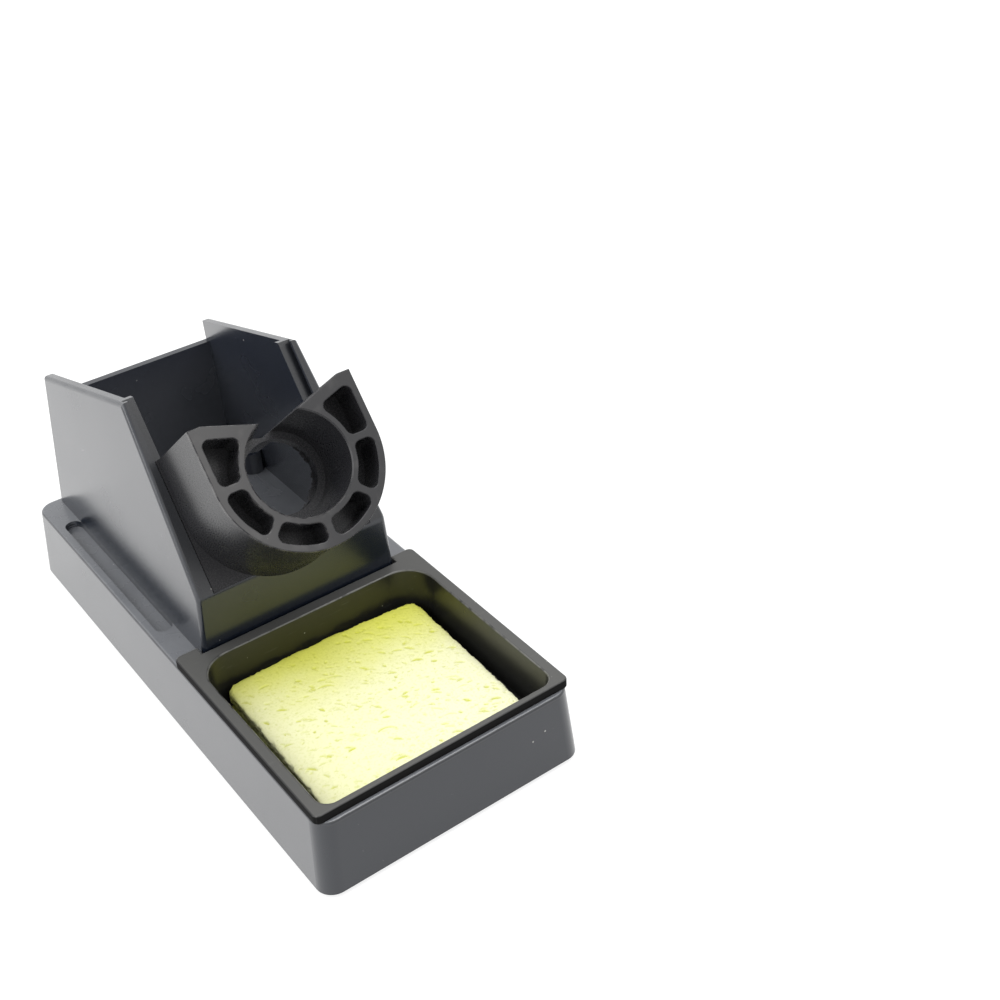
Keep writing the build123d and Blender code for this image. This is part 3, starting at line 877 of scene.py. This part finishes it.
@dataclass
class Sponge:
    """Wiping sponge: a crowned slab with torn edges, crescent pits and pores.

    Sizes are in millimetres, turn and pit_lay in degrees.
    """

    node: str = "sponge"
    turn: float = -1.7
    cell: float = 0.27
    side_rows: int = 14
    crown: float = 0.5
    crown_run: float = 3.0
    lip_drop: float = 0.3
    lip_run: float = 0.8
    waist: float = 0.15
    corner: float = 2.5
    bow: float = 1.6
    rear_tear: float = 0.95
    side_tear: float = 0.45
    tear_bias: float = 0.25
    tear_most: float = 1.2
    tear_run: float = 1.4
    ripple_rise: float = 0.08
    ripple_squash: float = 1.7
    ripple_waves: tuple[Span, ...] = ((9.0, 0.30), (4.0, 0.30), (2.1, 0.25), (1.1, 0.25))
    ripple_ways: int = 9
    ripple_share: float = 0.33
    crescents: int = 180
    flecks: int = 380
    pores: int = 500
    pit_depth: float = 0.55
    pit_spread: float = 0.48
    pit_lay: float = -33.0
    pit_scatter: float = 0.30
    pit_reach: float = 4.0
    seed: int = 11
    width: float = field(init=False)
    length: float = field(init=False)
    thickness: float = field(init=False)
    floor: float = field(init=False)
    middle: np.ndarray = field(init=False)

    def __post_init__(self) -> None:
        """Takes the slab's size and place from its turned CAD solid."""
        low, high = node_box(self.node)
        reach = high[:2] - low[:2] - 2.0 * self.corner
        angle = math.radians(self.turn)
        level, slant = math.cos(angle), abs(math.sin(angle))
        share = level**2 - slant**2
        self.width = (reach[0] * level - reach[1] * slant) / share + 2.0 * self.corner
        self.length = (reach[1] * level - reach[0] * slant) / share + 2.0 * self.corner
        self.thickness = high[2] - low[2]
        self.floor = low[2]
        self.middle = 0.5 * (low[:2] + high[:2])

    def build(self) -> bpy.types.Object:
        """Models the sponge.

        Returns:
            The finished piece.
        """
        deselect()
        columns = round(self.width / self.cell)
        rows = round(self.length / self.cell)
        bpy.ops.mesh.primitive_grid_add(x_subdivisions=columns, y_subdivisions=rows, size=1.0)
        piece = bpy.context.object
        piece.name = "sponge_pad"
        bpy.ops.object.mode_set(mode="EDIT")
        bpy.ops.mesh.select_all(action="SELECT")
        bpy.ops.transform.resize(value=(self.width * MM, self.length * MM, 1.0))
        bpy.ops.mesh.region_to_loop()
        lower = {"value": (0.0, 0.0, -self.thickness * MM / self.side_rows)}
        for _ in range(self.side_rows):
            bpy.ops.mesh.extrude_edges_move(TRANSFORM_OT_translate=lower)
        bpy.ops.mesh.edge_face_add()
        bpy.ops.mesh.select_all(action="SELECT")
        bpy.ops.mesh.normals_make_consistent(inside=False)
        bpy.ops.object.mode_set(mode="OBJECT")
        self._shape(piece)
        bpy.ops.object.shade_smooth()
        return piece

    def _shape(self, piece: bpy.types.Object) -> None:
        """Rounds, crowns, tears and pits the slab, and lays it in the tray.

        Args:
            piece: The slab.
        """
        points = mesh_points(piece)
        points[:, 2] += self.thickness
        x, y, height = points.T.copy()
        half = np.array((0.5 * self.width, 0.5 * self.length))
        share = height / self.thickness
        chance = np.random.default_rng(self.seed)
        ripple = self._ripple(chance, np.stack((x, y, self.ripple_squash * height), axis=1))
        # Rounded corners: points of the square corner are drawn onto the arc.
        over = np.maximum(np.abs(np.stack((x, y), axis=1)) - (half - self.corner), 0.0)
        reach = np.linalg.norm(over, axis=1)
        widest = over.max(axis=1)
        shrink = np.where(reach > 1e-9, widest / np.maximum(reach, 1e-9), 1.0)
        x = np.sign(x) * (np.minimum(np.abs(x), half[0] - self.corner) + over[:, 0] * shrink)
        y = np.sign(y) * (np.minimum(np.abs(y), half[1] - self.corner) + over[:, 1] * shrink)
        depth = self.corner - widest
        inland = np.where(widest > 0.0, depth, np.minimum(half[0] - np.abs(x), half[1] - np.abs(y)))
        # Sides drawn in at mid height and torn unevenly.
        near = np.clip(1.0 - inland / self.tear_run, 0.0, 1.0)
        ragged = np.where(y > half[1] - 2.0 * self.corner, self.rear_tear, self.side_tear)
        tear = self.waist * np.sin(np.pi * share) + ragged * (ripple + self.tear_bias) * near
        inward = np.clip(tear, 0.0, self.tear_most) * near
        x -= np.sign(x) * inward * (np.abs(x) > half[0] - self.corner - self.tear_run)
        y -= np.sign(y) * inward * (np.abs(y) > half[1] - self.corner - self.tear_run)
        y += self.bow * (1.0 - (x / half[0]) ** 2) * np.clip(y / half[1], 0.0, 1.0) ** 4
        # Low crown, with the rim of the top rounded over.
        rise = np.clip(inland / self.crown_run, 0.0, 1.0)
        top = np.clip(2.0 * share - 1.0, 0.0, 1.0)
        lip = np.clip(1.0 - inland / self.lip_run, 0.0, 1.0) ** 2
        height -= top * (self.crown * (1.0 - rise) ** 2 + self.lip_drop * lip)
        height += top * self.ripple_rise * ripple * (1.0 - lip)
        pit = self._pits(chance, x, y) * top
        height -= self.pit_depth * pit
        angle = math.radians(self.turn)
        turned_x = x * math.cos(angle) - y * math.sin(angle) + self.middle[0]
        turned_y = x * math.sin(angle) + y * math.cos(angle) + self.middle[1]
        move_points(piece, np.stack((turned_x, turned_y, height + self.floor), axis=1))
        piece.data.attributes.new("pit", "FLOAT", "POINT").data.foreach_set("value", pit)

    def _ripple(self, chance: np.random.Generator, points: np.ndarray) -> np.ndarray:
        """Uneven, seeded waves for the torn skin.

        Args:
            chance: The seeded generator.
            points: Places in millimetres.

        Returns:
            One value per place, about -1 to 1.
        """
        total = np.zeros(len(points))
        for wave, weight in self.ripple_waves:
            for _ in range(self.ripple_ways):
                direction = chance.normal(size=3)
                direction /= np.linalg.norm(direction)
                phase = chance.uniform(0.0, 2.0 * np.pi)
                waves = np.sin(points @ direction * (2.0 * np.pi / wave) + phase)
                total += self.ripple_share * weight * waves
        return total

    def _pits(self, chance: np.random.Generator, x: np.ndarray, y: np.ndarray) -> np.ndarray:
        """Crescent pits, short flecks and round pores over the top.

        Args:
            chance: The seeded generator.
            x: Places across the slab.
            y: Places along it.

        Returns:
            Depth at each place, zero to one.
        """
        depth = np.zeros(len(x))
        spread, lay = self.pit_spread, math.radians(self.pit_lay)
        for pit, count in ((Pit.CRESCENT, self.crescents), (Pit.FLECK, self.flecks), (Pit.PORE, self.pores)):
            for _ in range(count):
                across = chance.uniform(-spread, spread) * self.width
                along = chance.uniform(-spread, spread) * self.length
                angle = chance.normal(lay, self.pit_scatter)
                long, wide, deep, curl = pit.sizes(chance)
                near = (np.abs(x - across) < self.pit_reach) & (np.abs(y - along) < self.pit_reach)
                u = (x[near] - across) * math.cos(angle) + (y[near] - along) * math.sin(angle)
                v = (y[near] - along) * math.cos(angle) - (x[near] - across) * math.sin(angle)
                v = v + curl * u * u
                thin = wide * np.clip(1.05 - (u / long) ** 2, 0.05, 1.0)
                shape = deep * np.exp(-((u / long) ** 6) - (v / thin) ** 2)
                depth[near] = np.maximum(depth[near], shape)
        return depth

    def dress(self, piece: bpy.types.Object) -> None:
        """Gives the sponge its finish and its place in the frame.

        Args:
            piece: The modelled sponge.
        """
        low, high = (tuple(float(part) for part in corner) for corner in node_box(self.node))
        piece.data.materials.append(Cellulose(low, high).material())
        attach(piece, Body.SPONGE.value)
        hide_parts(self.node)
        LOG.info("built %s with %d faces", piece.name, len(piece.data.polygons))


@dataclass(frozen=True)
class Lamp:
    """One soft square lamp, in metres and watts."""

    name: str
    place: Triple
    aim: Triple
    side: float
    power: float

    def add(self) -> None:
        """Puts the lamp in the scene."""
        data = bpy.data.lights.new(self.name, "AREA")
        data.shape = "SQUARE"
        data.size = self.side
        data.energy = self.power
        lamp = bpy.data.objects.new(self.name, data)
        bpy.context.scene.collection.objects.link(lamp)
        lamp.location = self.place
        lamp.rotation_euler = (Vector(self.aim) - Vector(self.place)).to_track_quat("-Z", "Y").to_euler()


@dataclass
class Studio:
    """White table, soft light and the camera, in metres, degrees and millimetres of lens."""

    azimuth: float = -35.236
    elevation: float = 35.222
    roll: float = -2.933
    lens: float = 52.45
    sensor: float = 36.0
    nearest: float = 0.01
    place: Triple = (-0.13956, -0.31149, 0.28855)
    sky: float = 0.76
    paint: float = 0.34
    glow: float = 0.80
    table_side: float = 8.0
    table_drop: float = 0.0003
    lamps: tuple[Lamp, ...] = (
        Lamp("key", (-0.75, 0.10, 0.55), (0.0, 0.0, 0.04), 0.7, 3.8),
        Lamp("top", (0.0, 0.10, 1.05), (0.0, -0.03, 0.03), 0.8, 2.2),
        Lamp("fill", (0.32, -0.30, 1.00), (0.0, -0.03, 0.03), 0.6, 3.2),
    )

    def build(self) -> None:
        """Sets up the whole studio."""
        scene = bpy.context.scene
        scene.view_settings.view_transform = "Standard"
        self._sky(scene)
        self._floor()
        for lamp in self.lamps:
            lamp.add()
        self._camera(scene)
        LOG.info("studio ready with %d lamps", len(self.lamps))

    def _sky(self, scene: bpy.types.Scene) -> None:
        """White surroundings for camera and gloss, and a softer level for light.

        Args:
            scene: The scene to light.
        """
        shader = Shader(bpy.data.worlds.new("white_room"))
        seen = self._seen(shader)
        white = {"Color": (1.0, 1.0, 1.0), "Strength": self.sky + (1.0 - self.sky) * seen}
        scene.world = shader.end(shader.add("ShaderNodeBackground", {}, white))

    def _floor(self) -> None:
        """Pale table that keeps the stand's shadow."""
        deselect()
        bpy.ops.mesh.primitive_plane_add(size=self.table_side, location=(0.0, 0.0, -self.table_drop))
        floor = bpy.context.object
        floor.name = "table"
        shader = Shader(bpy.data.materials.new("white_table"))
        paint = shader.add("ShaderNodeBsdfDiffuse", {}, {"Color": (self.paint,) * 3})
        glow = shader.add("ShaderNodeEmission", {}, {"Strength": self.glow * self._seen(shader)})
        floor.data.materials.append(shader.end(shader.add("ShaderNodeAddShader", {}, {0: paint, 1: glow})))

    def _seen(self, shader: Shader) -> Value:
        """One for what the camera, gloss or glass sees, zero for what only lights.

        Args:
            shader: The tree to add the test to.

        Returns:
            The test.
        """
        camera = shader.add("ShaderNodeLightPath", output="Is Camera Ray")
        gloss = camera.sibling("Is Glossy Ray")
        return camera.larger(gloss).larger(camera.sibling("Is Transmission Ray"))

    def _camera(self, scene: bpy.types.Scene) -> None:
        """Puts the camera at the photograph's view.

        Args:
            scene: The scene that it films.
        """
        turn, rise, roll = (math.radians(angle) for angle in (self.azimuth, self.elevation, self.roll))
        back = Vector((math.sin(turn) * math.cos(rise), -math.cos(turn) * math.cos(rise), math.sin(rise)))
        level = Vector((0.0, 0.0, 1.0)).cross(back).normalized()
        up = back.cross(level)
        right = math.cos(roll) * level + math.sin(roll) * up
        above = math.cos(roll) * up - math.sin(roll) * level
        data = bpy.data.cameras.new("view")
        data.lens = self.lens
        data.sensor_width = self.sensor
        data.clip_start = self.nearest
        camera = bpy.data.objects.new("view", data)
        scene.collection.objects.link(camera)
        basis = Matrix((right, above, back)).transposed().to_4x4()
        camera.matrix_world = Matrix.Translation(self.place) @ basis
        scene.camera = camera


def main() -> None:
    """Builds the stand's looks in order."""
    logging.basicConfig(level=logging.INFO, format="%(message)s")
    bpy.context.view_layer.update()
    Studio().build()
    Stand().dress()
    receptacle = Receptacle()
    receptacle.dress(receptacle.build())
    Tray().dress()
    sponge = Sponge()
    sponge.dress(sponge.build())


if __name__ == "__main__":
    main()
